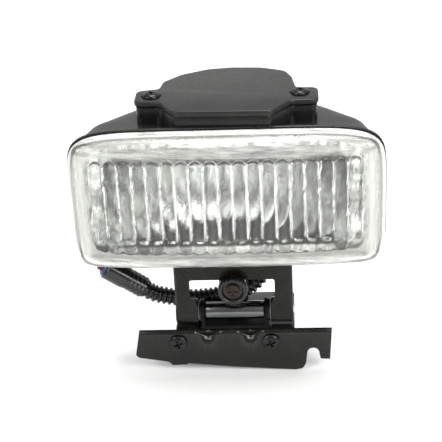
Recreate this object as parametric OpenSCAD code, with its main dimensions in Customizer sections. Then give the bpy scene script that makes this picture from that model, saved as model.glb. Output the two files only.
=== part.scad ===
// Rectangular auxiliary fog lamp with a fluted glass lens, a screwed top access cover,
// a stamped steel yoke on a hinge pin, and a fore-and-aft aiming screw with a thumb knob.
//
// Frame: millimetres, +X to the right seen from the front, +Y to the rear, +Z up.
// The origin is on the underside of the mounting bracket, midway between its two holes.

/* [Lens] */
// Overall width of the lens
lens_w = 162.4; // [150:0.1:170]
// Overall height of the lens
lens_h = 77.4; // [70:0.1:82]
// Depth of the lens from its face to its rim
lens_depth = 14; // [13:0.5:15]
// Glass thickness
lens_wall = 3; // [2.5:0.1:3.5]
// Number of vertical flutes
flute_count = 19; // [15:2:21]
// Spacing of the flutes
flute_pitch = 7.5; // [7:0.1:7.6]
// Height of the fluted field
flute_h = 54; // [48:1:56]

/* [Housing] */
// Wall thickness of the moulded housing
housing_wall = 2.5; // [2:0.1:3]
// Height of the cover joint above the lens centre
collar_z = 44; // [42:0.5:46]
// Thickness of the access cover
cover_t = 3; // [2.5:0.1:3.5]
// Distance of each cover screw from the middle
cover_screw_x = 38.5; // [37:0.5:40]

/* [Yoke and pivot] */
// Outside width of the yoke
yoke_w = 65; // [62:1:70]
// Width between the yoke's legs
yoke_gap = 41; // [40:0.5:43]
// Thickness of the yoke's sheet steel
yoke_t = 2.5; // [2:0.1:3]
// Radius of the hinge pin
pin_r = 3; // [2.9:0.1:3.1]
// Outer radius of the knuckle at the foot of each leg
knuckle_r = 7; // [6.5:0.1:7]
// Outer radius of the spacer tube
tube_r = 5; // [4.5:0.1:5]

/* [Aiming screw] */
// Height of the aiming screw above the hinge pin
lever = 19.2; // [18.5:0.1:20]
// Radius of the threaded part
thread_r = 3; // [2.9:0.05:3]
// Radius of the thumb knob
knob_r = 8.2; // [7.5:0.1:8.5]

/* [Mounting bracket] */
// Thickness of the bracket's sheet steel
bracket_t = 2; // [1.5:0.1:2.5]
// Distance between the two mounting holes
hole_spacing = 48; // [46:1:52]
// Radius of the mounting holes
hole_r = 3.3; // [3.1:0.1:3.5]

/* [Hidden] */

e = 0.01;
run = 0.05;                         // radial clearance of a running fit
lens_y = -60;                       // front of the lens
optic_z = 90.2;                     // height of the lens centre
pivot_y = -23;
pivot_z = 10.8;
aim_z = pivot_z + lever;
yoke_y = pivot_y - knuckle_r;       // front face of the yoke
yoke_top = 50.2;                    // top of the yoke's top plate
flange_y = -30.5;                   // front face of the bracket's flange
web_w = 66;
web_back = 12;
ear_in = 16.6;                      // inner face of each clevis ear
ear_t = 2;
ear_r = 6.8;
washer_t = 1;
knuckle_in = 20;
vertex_y = 58;                      // reflector's vertex, behind the lens face
focal = 25;
bulb_seat = vertex_y + 1.5;
tongue_t = 2.2;                     // thickness of the yoke's tongue
socket_r = 5.6;                     // waist of the aiming socket
ball_r = 4.5;
rivet_r = 2;
rivet_head_r = 3.4;
rivet_sink = 1.2;                   // depth of the rivets' countersunk heads
rivet_at = [[-9, -14.2], [9, -14.2], [0, 6]];

// Outline of the access cover, round from its front left corner
cover_points = [[-26, 17.5], [24, 16], [34, 30], [48, 30], [48, 48], [36.5, 48.5], [34.5, 64],
    [30, 72], [18, 77.5], [4, 80], [-9, 78.5], [-24, 71.5], [-33.5, 61], [-35.5, 50.5], [-47, 48.5],
    [-47, 32], [-34, 31.5]];

// Middle line of the conduit from its grommet to its connector
conduit_r = 5;
conduit_route = [[18, 4, 46.2], [18, 4, 41.5], [18, 2.8, 36.8], [17.6, 0, 32.8], [16.8, -3.6, 29.3],
    [15, -7, 25.6], [12, -9.4, 22], [7.5, -10.4, 18.8], [2, -10.5, 16.3], [-5, -10.5, 14.3],
    [-12, -10.5, 12.9], [-19, -10.5, 12.1], [-26, -10.5, 11.9], [-33, -10.6, 12.5], [-40, -11, 13.9],
    [-46.5, -11.5, 16.2], [-51.4, -12.1, 19.9]];
plug_at = conduit_route[len(conduit_route) - 1];
plug_dir = plug_at - conduit_route[len(conduit_route) - 2];

// A superellipse: a rectangle with gently bulging sides and round corners
function squircle(w, h, power = 6.5, n = 72) =
    [for (i = [0:n - 1]) let (a = 360 * (i + 0.5) / n, c = cos(a), s = sin(a))
        [w / 2 * sign(c) * pow(abs(c), 2 / power), h / 2 * sign(s) * pow(abs(s), 2 / power)]];

// Stands a flat outline up so that it faces the front, between two distances to the rear
module facing(y0, y1) {
    translate([0, y1, 0]) rotate([90, 0, 0]) linear_extrude(y1 - y0) children();
}

module at_lens() { translate([0, lens_y, optic_z]) children(); }

module rod_y(r, y0, y1) {
    translate([0, y0, 0]) rotate([-90, 0, 0]) cylinder(r = r, h = y1 - y0, $fn = 48);
}

module rod_x(r, x0, x1) {
    translate([x0, 0, 0]) rotate([0, 90, 0]) cylinder(r = r, h = x1 - x0, $fn = 48);
}

// A closed skin round a stack of slices, each [distance to the rear, width, height]
module loft(slices) {
    hull() for (s = slices) facing(s[0], s[0] + e) polygon(squircle(s[1], s[2], s[3]));
}

module both_sides() {
    children();
    mirror([1, 0, 0]) children();
}

// ---- tube swept along a route ----
function unit(v) = v / norm(v);
function catmull(a, b, c, d, t) = 0.5 * (2 * b + (c - a) * t + (2 * a - 5 * b + 4 * c - d) * t * t
    + (3 * b - a - 3 * c + d) * t * t * t);
function smooth(route, steps) = let (n = len(route)) concat(
    [for (i = [0:n - 2]) let (a = i > 0 ? route[i - 1] : 2 * route[0] - route[1], b = route[i],
        c = route[i + 1], d = i < n - 2 ? route[i + 2] : 2 * route[n - 1] - route[n - 2])
        for (k = [0:steps - 1]) catmull(a, b, c, d, k / steps)], [route[n - 1]]);
function tangent(p, i) = unit(p[min(i + 1, len(p) - 1)] - p[max(i - 1, 0)]);
function carried(u, t) = unit(u - (u * t) * t);
function frames(p, i, u) = i >= len(p) ? [] :
    let (v = carried(u, tangent(p, i))) concat([v], frames(p, i + 1, v));

module tube(route, r, sides, side_dir, steps = 1) {
    p = smooth(route, steps);
    f = frames(p, 0, side_dir);
    n = len(p);
    rings = [for (i = [0:n - 1]) let (t = tangent(p, i), u = f[i], v = cross(t, u))
        for (k = [0:sides - 1]) p[i] + r * (cos(360 * k / sides) * u + sin(360 * k / sides) * v)];
    walls = [for (i = [0:n - 2]) for (k = [0:sides - 1]) let (a = i * sides, b = (k + 1) % sides)
        each [[a + k, a + sides + k, a + sides + b], [a + k, a + sides + b, a + b]]];
    ends = [[for (k = [0:sides - 1]) k], [for (k = [sides - 1:-1:0]) (n - 1) * sides + k]];
    polyhedron(rings, concat(walls, ends), convexity = 6);
}

// ---- lens and housing ----
lens_outer = [[0, 0.66, 0.60], [0.12, 0.80, 0.72], [0.28, 0.89, 0.81], [0.5, 0.955, 0.90],
    [0.75, 0.99, 0.975], [1, 1, 1]];

module lens_skin(inset, front) {
    loft([for (s = lens_outer)
        [front + s[0] * (lens_depth - front), s[1] * lens_w - 2 * inset, s[2] * lens_h - 2 * inset,
            6.5]]);
}

function face_y(x) = 4.2 * pow(x / 75, 2);

module lens() color([0.9, 0.93, 0.94, 0.5]) at_lens() {
    difference() {
        lens_skin(0, 0);
        translate([0, e, 0]) lens_skin(lens_wall, lens_wall);
    }
    intersection() {
        for (i = [0:flute_count - 1]) let (x = (i - (flute_count - 1) / 2) * flute_pitch)
            translate([x, face_y(x) + 3.2, -flute_h / 2])
                cylinder(r = flute_pitch * 0.48, h = flute_h, $fn = 24);
        lens_skin(0.5, 0.5);
    }
}

module lens_gasket() color([0.8, 0.8, 0.78]) at_lens() facing(lens_depth + e, lens_depth + 1.2)
    difference() {
        polygon(squircle(lens_w - 4, lens_h - 4));
        polygon(squircle(lens_w - 16.4, lens_h - 14.4));
    }

// Bowl of the housing behind its rim: [distance to the rear, width, height, squareness]
rim_y = lens_depth + 1.2;
back_y = 80;                        // back of the bowl, behind the lens face
bowl = [[rim_y, 157, 72.4, 8], [24, 153.5, 71.2, 10], [37, 143.5, 70.4, 12], [49, 121.5, 69.8, 12],
    [58.5, 103.5, 68.5, 12], [70, 76, 62, 10], [back_y, 46, 46, 6.5]];

module bowl_skin(inset) {
    loft([for (s = bowl) [s[0] - (s[0] > 70 ? inset : 0), s[1] - 2 * inset, s[2] - 2 * inset, s[3]]]);
}

module cover_outline(inset) {
    offset(r = 3.5 - inset, $fn = 32) offset(delta = -3.5) polygon(cover_points);
}

// The cover's outline without its two screw ears
module opening_outline(inset) {
    intersection() {
        cover_outline(inset);
        translate([-34 + inset, 0]) square([68 - 2 * inset, 90]);
    }
}

pad = [52, 30, 10];                 // block under the bowl that the yoke bolts to
pad_z = yoke_top - optic_z;
yoke_screw_at = [[-17, -21], [17, -21], [0, -9]];
grommet_at = [conduit_route[0].x, conduit_route[0].y - lens_y];
grommet_z = -33;                    // lower face of the grommet's boss
breather_z = -11;

module housing() color([0.09, 0.09, 0.09]) at_lens() difference() {
    union() {
        bowl_skin(0);
        facing(rim_y, rim_y + 3) polygon(squircle(lens_w + 1.2, lens_h + 1.2));
        translate([0, 0, 20]) linear_extrude(collar_z - 20) cover_outline(0.8);
        translate([-pad.x / 2, 29, pad_z]) cube(pad);
        translate([grommet_at.x, grommet_at.y, grommet_z]) cylinder(r = 10, h = 14, $fn = 48);
        translate([0, 0, breather_z]) rod_y(5, back_y - 8, back_y + 3);
    }
    translate([0, -e, 0]) bowl_skin(housing_wall);
    translate([0, 0, 16]) linear_extrude(collar_z) opening_outline(3.3);
    both_sides() translate([cover_screw_x, 40, collar_z - 11]) cylinder(r = 1.8, h = 20, $fn = 32);
    for (s = yoke_screw_at) translate([s.x, s.y - lens_y, pad_z - e]) cylinder(r = 2.2, h = 7, $fn = 32);
    translate([grommet_at.x, grommet_at.y, grommet_z - e]) cylinder(r = 7, h = 30, $fn = 48);
    // room for the grommet's flange beside the pad
    translate([grommet_at.x, grommet_at.y, grommet_z - 10]) cylinder(r = 9.5, h = 10, $fn = 48);
    translate([0, 0, breather_z]) rod_y(2, back_y - 18, back_y + 10);
}

module parabola(offset_y) {
    polygon(concat([for (k = [0:14]) let (r = 5.2 + k * 4.9) [r, offset_y - r * r / (4 * focal)]],
        [[73.8, offset_y - 90], [5.2, offset_y - 90]]));
}

module reflector() color([0.85, 0.86, 0.88]) at_lens() {
    difference() {
        intersection() {
            translate([-66, 17, -29]) cube([132, 45, 58]);
            rotate([-90, 0, 0]) rotate_extrude($fn = 72) parabola(vertex_y + 1.6);
        }
        intersection() {
            translate([-64.5, 10, -27.5]) cube([129, 60, 55]);
            union() {
                rotate([-90, 0, 0]) rotate_extrude($fn = 72) parabola(vertex_y);
                rod_y(5.3, 10, 70);
            }
        }
    }
    facing(rim_y, rim_y + 1.8) difference() {
        polygon(squircle(lens_w - 15.9, lens_h - 12.2));
        square([129, 55], center = true);
    }
    // seat for the bulb and the two loops that carry its clip
    difference() {
        union() {
            rod_y(12, vertex_y - 1, bulb_seat);
            both_sides() translate([8.6, bulb_seat - 6, -15.2]) cube([3, 9.4, 4.4]);
            translate([-2, bulb_seat - 5, 11.4]) cube([4, 9, 1.6]);
        }
        rod_y(5.3, 40, 70);
        translate([0, bulb_seat + 1.9, -13]) rod_x(0.6 + run, -20, 20);
        rotate([-90, 0, 0]) rotate_extrude($fn = 72) parabola(vertex_y);
    }
}

// ---- bulb ----
module bulb_glass() color([0.92, 0.94, 0.95, 0.5]) at_lens() difference() {
    union() {
        rod_y(4.7, bulb_seat - 25, bulb_seat);
        translate([0, bulb_seat - 25, 0]) sphere(r = 4.7, $fn = 32);
    }
    union() {
        rod_y(3.9, bulb_seat - 25, bulb_seat - 4);
        translate([0, bulb_seat - 25, 0]) sphere(r = 3.9, $fn = 32);
    }
}

module bulb_filament() color([0.45, 0.43, 0.4]) at_lens() {
    rod_y(0.8, bulb_seat - 27, bulb_seat - 20.5);
    translate([1.8, 0, 0]) rod_y(0.35, bulb_seat - 27, bulb_seat - 4);
    translate([-1.4, 0, 0]) rod_y(0.35, bulb_seat - 20.8, bulb_seat - 4);
    translate([0, bulb_seat - 26.8, 0]) rod_x(0.3, 0, 1.8);
    translate([0, bulb_seat - 20.7, 0]) rod_x(0.3, -1.4, 0);
}

module bulb_base() color([0.72, 0.72, 0.7]) at_lens() {
    rod_y(9.5, bulb_seat, bulb_seat + 1.2);
    rod_y(6.2, bulb_seat + 1.2, bulb_seat + 6);
    rod_y(4.4, bulb_seat + 6, bulb_seat + 7.5);
    translate([-3.15, bulb_seat + 7.5 - e, -0.4]) cube([6.3, 6, 0.8]);
}

// Wire bail: a cross bar in the two loops, two arms over the bulb's flange, and a bridge
module bulb_clip() color([0.8, 0.8, 0.82]) at_lens() translate([0, bulb_seat + 1.9, 0]) {
    translate([0, 0, -13]) rod_x(0.6, -12.4, 12.4);
    both_sides() translate([7.3, 0, -13]) cylinder(r = 0.6, h = 23.2, $fn = 24);
    translate([0, 0, 10.2]) rod_x(0.6, -7.9, 7.9);
}

module lead_terminal() color([0.75, 0.72, 0.62]) at_lens() difference() {
    translate([-4.2, bulb_seat + 8.1, -6]) cube([8.4, 6.4, 8]);
    translate([-3.15, bulb_seat + 7, -0.4]) cube([6.3, 6.5, 0.8]);
}

module power_lead() color([0.1, 0.15, 0.55]) at_lens()
    tube([[0, 71, -6], [0.6, 71, -10], [3, 70.4, -14], [7, 69, -18], [11.5, 67, -21.5],
        [14.6, 65.2, -25.5], [15.4, 64.6, -30.4]], 1.2, 8, [1, 0, 0], 2);

module earth_lead() color([0.08, 0.08, 0.08]) at_lens()
    tube([[10.8, bulb_seat, -2], [10.9, 62.5, -2.2], [13.4, 64.2, -6], [16.6, 64.3, -11],
        [19.2, 64, -16], [20.4, 64, -21], [20.6, 64, -26], [20.4, 64, -30.4]], 1.2, 8, [1, 0, 0], 2);

// ---- access cover ----
module access_cover() color([0.1, 0.1, 0.1]) at_lens() difference() {
    union() {
        translate([0, 0, collar_z + 0.6]) linear_extrude(cover_t - 1.2) cover_outline(0);
        translate([0, 0, collar_z + cover_t - 0.6 - e]) linear_extrude(1.2 + e) cover_outline(0.6);
    }
    both_sides() translate([cover_screw_x, 40, collar_z]) cylinder(r = 2.2, h = 10, $fn = 32);
}

module cover_gasket() color([0.16, 0.16, 0.16]) at_lens() translate([0, 0, collar_z])
    linear_extrude(0.6) difference() {
        opening_outline(1);
        opening_outline(3);
    }

// Pan-head screw standing on z = 0 with its shank below and a cross recess on top
module pan_screw(head_r, head_h, shank_r, shank) {
    difference() {
        union() {
            cylinder(r = head_r, h = head_h * 0.45, $fn = 48);
            translate([0, 0, head_h * 0.45]) cylinder(r1 = head_r, r2 = head_r * 0.62,
                h = head_h * 0.55, $fn = 48);
            translate([0, 0, -shank]) cylinder(r = shank_r, h = shank + e, $fn = 32);
        }
        for (a = [0, 90]) rotate([0, 0, a]) translate([-head_r * 0.5, -head_r * 0.12, head_h * 0.4])
            cube([head_r, head_r * 0.24, head_h]);
    }
}

module cover_screws() color([0.3, 0.3, 0.3]) at_lens() both_sides()
    translate([cover_screw_x, 40, collar_z + cover_t + 0.6]) pan_screw(4.6, 2.6, 1.8, 13);

module breather_cap() color([0.12, 0.12, 0.12]) at_lens() translate([0, back_y + 3, breather_z]) {
    rod_y(2, -5, e);
    rod_y(6.5, 0, 5);
    rod_y(4.5, 5 - e, 7);
}

// ---- yoke ----
module yoke_sheet() {
    // front plate with its window open at the bottom
    facing(yoke_y, yoke_y + yoke_t) difference() {
        translate([-yoke_w / 2, pivot_z]) square([yoke_w, yoke_top - pivot_z]);
        translate([-yoke_gap / 2, 0]) square([yoke_gap, aim_z + 2.5]);
    }
    // top plate under the housing's pad
    translate([-pad.x / 2, yoke_y, yoke_top - yoke_t]) cube([pad.x, 27, yoke_t]);
    // side flanges
    both_sides() translate([yoke_w / 2 - yoke_t, 0, 0]) rotate([90, 0, 90]) linear_extrude(yoke_t)
        polygon([[yoke_y, yoke_top], [-14, yoke_top], [-15, 41], [-23, 25], [-24, 15],
            [yoke_y, 15]]);
    // knuckles
    both_sides() translate([0, pivot_y, pivot_z]) rod_x(knuckle_r, knuckle_in, yoke_w / 2);
    // tongue that carries the aiming socket
    facing(pivot_y - tongue_t / 2, pivot_y + tongue_t / 2) {
        translate([-8, aim_z]) square([16, yoke_top - 1 - aim_z]);
        translate([0, aim_z]) circle(r = 8, $fn = 48);
    }
}

module yoke() color([0.17, 0.17, 0.16]) difference() {
    yoke_sheet();
    translate([0, pivot_y, pivot_z]) rod_x(4, -40, 40);
    translate([0, 0, aim_z]) {
        rod_y(socket_r, pivot_y - 4, pivot_y + 4);
        rod_y(6.4, yoke_y - 1, yoke_y + yoke_t + 1);
    }
    for (s = yoke_screw_at) translate([s.x, s.y, yoke_top - 4]) cylinder(r = 2.7, h = 8, $fn = 32);
}

module yoke_screws() color([0.55, 0.55, 0.55]) for (s = yoke_screw_at)
    translate([s.x, s.y, yoke_top - yoke_t]) rotate([180, 0, 0]) {
        cylinder(r = 4.6, h = 3.4, $fn = 6);
        translate([0, 0, -8]) cylinder(r = 2.2, h = 8 + e, $fn = 32);
    }

module pivot_bushings() color([0.85, 0.84, 0.78]) both_sides() translate([0, pivot_y, pivot_z])
    difference() {
        union() {
            rod_x(4, knuckle_in, yoke_w / 2);
            rod_x(5.6, knuckle_in - 0.3, knuckle_in);
        }
        rod_x(pin_r + run, knuckle_in - 1, yoke_w / 2 + 1);
    }

// Snap-in nylon ring: a waist in the tongue's hole, a lip on each side, a ball seat inside
module aim_socket() color([0.8, 0.8, 0.75]) translate([0, pivot_y, aim_z]) rotate([-90, 0, 0])
    rotate_extrude($fn = 64) difference() {
        union() {
            translate([0, -2.8]) square([socket_r, 5.6]);
            for (y = [-2.8, tongue_t / 2]) translate([0, y]) square([6.8, 2.8 - tongue_t / 2]);
        }
        circle(r = ball_r + 0.3, $fn = 64);
        translate([0, -4]) square([4.3, 8]);
    }

// ---- wiring ----
module cable_grommet() color([0.13, 0.13, 0.13])
    translate([conduit_route[0].x, conduit_route[0].y, optic_z + grommet_z]) difference() {
        union() {
            cylinder(r = 6.97, h = 4, $fn = 48);
            translate([0, 0, -3]) cylinder(r = 9, h = 3 + e, $fn = 48);
            translate([0, 0, -11]) cylinder(r1 = 6.2, r2 = 8, h = 8 + e, $fn = 48);
        }
        translate([0, 0, -9]) cylinder(r = 4, h = 20, $fn = 32);
    }

module conduit() color([0.1, 0.1, 0.1]) tube(conduit_route, conduit_r, 12, [1, 0, 0]);

// Turns +Z onto the plug's direction and moves the origin to the conduit's end
module at_plug() {
    translate(plug_at)
        rotate([0, acos(plug_dir.z / norm(plug_dir)), atan2(plug_dir.y, plug_dir.x)]) children();
}

module connector_body() color([0.1, 0.1, 0.1]) at_plug() difference() {
    union() {
        cylinder(r = 6.2, h = 12, $fn = 48);
        translate([0, 0, 12 - e]) cylinder(r = 6.6, h = 13, $fn = 48);
        translate([-7.6, -2.5, 14]) cube([3, 5, 9]);
    }
    translate([0, 0, 17]) cylinder(r = 5.2, h = 10, $fn = 48);
}

module connector_lock() color([0.35, 0.5, 0.75]) at_plug() difference() {
    translate([0, 0, 17]) cylinder(r = 5.2, h = 9.5, $fn = 48);
    for (s = [-1, 1]) translate([-3, s * 2.1 - 0.4, 18]) cube([6, 0.8, 12]);
}

module connector_terminals() color([0.75, 0.7, 0.55]) at_plug()
    for (s = [-1, 1]) translate([-3, s * 2.1 - 0.4, 18]) cube([6, 0.8, 11.5]);

// ---- mounting bracket ----
// A triangular dent across the bend
module dart(x, w, d, inward) {
    translate([x, flange_y + inward, bracket_t - inward]) polyhedron(
        [[-w, 0, 0], [w, 0, 0], [0, d, 0], [0, 0, -d], [0, -e, e]],
        [[0, 2, 3], [1, 3, 2], [0, 3, 4], [3, 1, 4], [1, 2, 4], [2, 0, 4]]);
}

slot_at = [43.1, -13.5];            // upper end of the flange's open slot
slot_r = 3.4;
bolt_z = bracket_t - 7.4;           // height of the two clamp screws
clamp_x = [-32, 19.7];
dart_x = [-15.3, 8.4];             // V-shaped dents that stiffen the bend
seat_front = -20;                   // where the web's seat on its carrier begins

module flange_outline() {
    difference() {
        polygon([[-53.6, bracket_t], [-56.4, -13.5], [-54.5, -15.2], [-38, -18], [-36, -20.3],
            [-28.5, -20], [-27, -19.2], [0, -21.8], [33, -24.2], [37, -23.4], [38.8, -20.5],
            [39.7, -14], [46.5, -14], [47.2, -17.2], [52.4, -17.6], [53.6, bracket_t]]);
        translate(slot_at) circle(r = slot_r, $fn = 32);
        translate([slot_at.x - slot_r, slot_at.y - 20]) square([2 * slot_r, 20]);
        translate([-web_w / 2, -1]) square([web_w, 10]);
    }
}

module mounting_bracket() color([0.2, 0.2, 0.19]) difference() {
    union() {
        facing(flange_y, flange_y + bracket_t) flange_outline();
        // bend and web
        translate([-web_w / 2, 0, 0]) rotate([90, 0, 90]) linear_extrude(web_w) difference() {
            union() {
                translate([flange_y + 3, 0]) square([web_back - flange_y - 3, bracket_t]);
                translate([flange_y, -1 - e]) square([bracket_t, 1 + e]);
                intersection() {
                    translate([flange_y + 3, bracket_t - 3]) circle(r = 3, $fn = 48);
                    translate([flange_y, -1 - e]) square([3 + e, 3 + e]);
                }
            }
            translate([flange_y + 3, bracket_t - 3]) circle(r = 1, $fn = 32);
        }
        for (x = dart_x) dart(x, 6.2, 3.4, 1.6);
    }
    for (x = dart_x) dart(x, 6.2, 2.8, 0);
    for (x = clamp_x) translate([x, 0, bolt_z]) rod_y(2.7, flange_y - 1, flange_y + 5);
    for (s = [-1, 1]) translate([s * hole_spacing / 2, 0, -1]) cylinder(r = hole_r, h = 5, $fn = 48);
    // relief in front of the seat, so that the clamp strip clears the carrier
    translate([-web_w, flange_y + 3, -1]) cube([2 * web_w, seat_front - flange_y - 3, 1.4]);
    for (p = rivet_at) translate([p.x, p.y, 0]) {
        cylinder(r = rivet_r, h = 5, $fn = 32);
        translate([0, 0, -e]) cylinder(r1 = rivet_head_r, r2 = rivet_r, h = rivet_sink, $fn = 32);
    }
}

module clamp_strip() color([0.25, 0.25, 0.24]) difference() {
    facing(flange_y + bracket_t, flange_y + bracket_t + 3) hull() for (x = clamp_x)
        translate([x, bolt_z]) circle(r = 4.4, $fn = 32);
    for (x = clamp_x) translate([x, 0, bolt_z]) rod_y(2.5, flange_y, flange_y + 9);
    // notches under the dents
    for (x = dart_x) translate([x - 6.6, flange_y, -3.2]) cube([13.2, 9, 5]);
}

module clamp_screws() color([0.12, 0.12, 0.12]) for (x = clamp_x)
    translate([x, flange_y, bolt_z]) rotate([90, 0, 0]) pan_screw(5, 2.8, 2.5, 8);

module pivot_clevis() color([0.2, 0.2, 0.19]) difference() {
    union() {
        translate([-ear_in - ear_t, pivot_y - ear_r + 1, bracket_t]) cube([2 * (ear_in + ear_t), 18.2, 2]);
        both_sides() translate([ear_in, 0, 0]) rotate([90, 0, 90]) linear_extrude(ear_t) {
            translate([pivot_y, pivot_z]) circle(r = ear_r, $fn = 48);
            translate([pivot_y - ear_r + 1, bracket_t]) square([2 * ear_r - 2, pivot_z - bracket_t]);
        }
    }
    translate([0, pivot_y, pivot_z]) rod_x(pin_r + run, -30, 30);
    for (i = [0, 1]) translate([rivet_at[i].x, rivet_at[i].y, 0]) cylinder(r = rivet_r, h = 9, $fn = 32);
}

// Rivet with a head flush with the bracket's underside and a domed head on top
module rivet(p, grip) {
    translate([p.x, p.y, 0]) {
        cylinder(r1 = rivet_head_r - 0.03, r2 = rivet_r, h = rivet_sink - e, $fn = 32);
        cylinder(r = rivet_r, h = grip + e, $fn = 32);
        translate([0, 0, grip]) cylinder(r1 = 3.6, r2 = 2.4, h = 1.3, $fn = 32);
    }
}

module clevis_rivets() color([0.3, 0.3, 0.3]) for (i = [0, 1]) rivet(rivet_at[i], bracket_t + 2);

module post_rivet() color([0.3, 0.3, 0.3]) rivet(rivet_at[2], bracket_t + 2);

module pivot_tube() color([0.75, 0.76, 0.77]) translate([0, pivot_y, pivot_z]) difference() {
    rod_x(tube_r, -ear_in, ear_in);
    rod_x(pin_r + run, -ear_in - 1, ear_in + 1);
}

module pivot_pin() color([0.6, 0.6, 0.6]) translate([0, pivot_y, pivot_z]) {
    rod_x(pin_r, -yoke_w / 2 + 0.2, yoke_w / 2 - 0.2);
    both_sides() rod_x(2.2, yoke_w / 2 - 0.3, yoke_w / 2 + 0.5);
}

module friction_washers() color([0.35, 0.35, 0.35]) both_sides()
    translate([0, pivot_y, pivot_z]) difference() {
        rod_x(6.4, ear_in + ear_t, ear_in + ear_t + washer_t - 0.2);
        rod_x(pin_r + run, ear_in, ear_in + 6);
    }

// ---- aiming screw ----
post_y = -2.5;

module nut_post() color([0.2, 0.2, 0.19]) difference() {
    union() {
        facing(post_y, post_y + 2) {
            translate([-6.5, bracket_t]) square([13, aim_z - bracket_t]);
            translate([0, aim_z]) circle(r = 6.5, $fn = 48);
        }
        translate([-6.5, post_y, bracket_t]) cube([13, 13, 2]);
    }
    translate([0, 0, aim_z]) rod_y(thread_r + 0.4, -10, 10);
    translate([rivet_at[2].x, rivet_at[2].y, 0]) cylinder(r = rivet_r, h = 9, $fn = 32);
}

module adjuster_nut() color([0.6, 0.58, 0.5]) translate([0, 0, aim_z]) difference() {
    translate([-5, post_y + 2, -5]) cube([10, 5, 10]);
    rod_y(thread_r + run, -10, 10);
}

sleeve = 4.6;                       // half-length of the ball's sleeve
journal_r = 2.5;

module aim_ball() color([0.9, 0.9, 0.86]) translate([0, pivot_y, aim_z]) difference() {
    union() {
        sphere(r = ball_r, $fn = 48);
        rod_y(3.5, -sleeve, sleeve);
    }
    rod_y(journal_r + run, -9, 9);
}

module aim_screw() color([0.65, 0.58, 0.4]) translate([0, 0, aim_z]) {
    rod_y(thread_r, pivot_y + sleeve + 0.1, 9);
    rod_y(journal_r, -36, pivot_y + sleeve + 0.2);
    difference() {
        rod_y(4, -36.6, -35.2);
        for (a = [0, 90]) rotate([0, a, 0]) translate([-2.8, -38, -0.5]) cube([5.6, 2.2, 1]);
    }
}

module aim_knob() color([0.14, 0.14, 0.14]) translate([0, 0, aim_z]) difference() {
    union() {
        rod_y(knob_r, -37.5, -31.8);
        rod_y(4.5, -32, pivot_y - sleeve - 0.1);
    }
    rod_y(5.4, -38, -35.2);
    rod_y(journal_r, -40, -20);
    for (a = [0:15:345]) rotate([0, a, 0]) translate([knob_r + 0.25, 0, 0]) rod_y(0.6, -39, -30);
}

lens();
lens_gasket();
housing();
reflector();
bulb_glass();
bulb_filament();
bulb_base();
bulb_clip();
lead_terminal();
power_lead();
earth_lead();
access_cover();
cover_gasket();
cover_screws();
breather_cap();
yoke();
yoke_screws();
pivot_bushings();
aim_socket();
cable_grommet();
conduit();
connector_body();
connector_lock();
connector_terminals();
mounting_bracket();
pivot_clevis();
clevis_rivets();
pivot_tube();
pivot_pin();
friction_washers();
clamp_strip();
clamp_screws();
nut_post();
post_rivet();
adjuster_nut();
aim_ball();
aim_screw();
aim_knob();
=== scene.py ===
"""Looks of a rectangular fog lamp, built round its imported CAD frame."""
import math
import bpy
import bmesh
from mathutils import Matrix, Vector


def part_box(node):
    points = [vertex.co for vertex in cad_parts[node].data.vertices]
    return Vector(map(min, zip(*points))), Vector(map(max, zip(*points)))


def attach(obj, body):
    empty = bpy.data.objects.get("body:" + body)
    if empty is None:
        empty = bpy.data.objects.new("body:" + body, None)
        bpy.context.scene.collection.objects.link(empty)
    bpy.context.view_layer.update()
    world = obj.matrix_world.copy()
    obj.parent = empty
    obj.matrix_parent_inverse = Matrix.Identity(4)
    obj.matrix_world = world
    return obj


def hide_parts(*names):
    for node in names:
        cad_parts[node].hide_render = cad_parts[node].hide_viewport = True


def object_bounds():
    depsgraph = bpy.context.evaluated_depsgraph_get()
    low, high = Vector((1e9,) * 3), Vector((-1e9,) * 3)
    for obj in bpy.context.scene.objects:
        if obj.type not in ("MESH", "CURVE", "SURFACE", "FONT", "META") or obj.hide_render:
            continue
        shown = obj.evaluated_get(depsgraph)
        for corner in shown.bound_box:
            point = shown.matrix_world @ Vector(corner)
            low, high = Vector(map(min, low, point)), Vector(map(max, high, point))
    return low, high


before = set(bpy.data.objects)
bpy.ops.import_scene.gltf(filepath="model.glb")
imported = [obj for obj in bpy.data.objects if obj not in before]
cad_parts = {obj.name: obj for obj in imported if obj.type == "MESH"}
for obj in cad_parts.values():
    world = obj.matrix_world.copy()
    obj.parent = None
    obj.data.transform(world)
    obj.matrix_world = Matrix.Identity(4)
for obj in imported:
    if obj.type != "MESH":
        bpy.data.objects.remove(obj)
cad_low, cad_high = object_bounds()

MM = 0.001
TURN = 2 * math.pi


def box_mm(node):
    """Lowest corner, highest corner and centre of a CAD node, in millimetres."""
    low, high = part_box(node)
    return low / MM, high / MM, (low + high) / (2 * MM)


# Driving places and sizes, in millimetres, read off the frame
lens_low, lens_high, lens_mid = box_mm("lens")
LENS_W = lens_high.x - lens_low.x
LENS_H = lens_high.z - lens_low.z
LENS_D = lens_high.y - lens_low.y
PIVOT = box_mm("pivot_tube")[2]
AIM_Z = box_mm("adjuster_nut")[2].z
FLOOR_Z = cad_low.z / MM
POWER = 6.5                     # how square the lens's superellipse is


def lamp(x, y, z):
    """A point given from the lens's face: x to the right, y to the rear, z from the lens's centre."""
    return Vector((x, lens_low.y + y, lens_mid.z + z))


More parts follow.
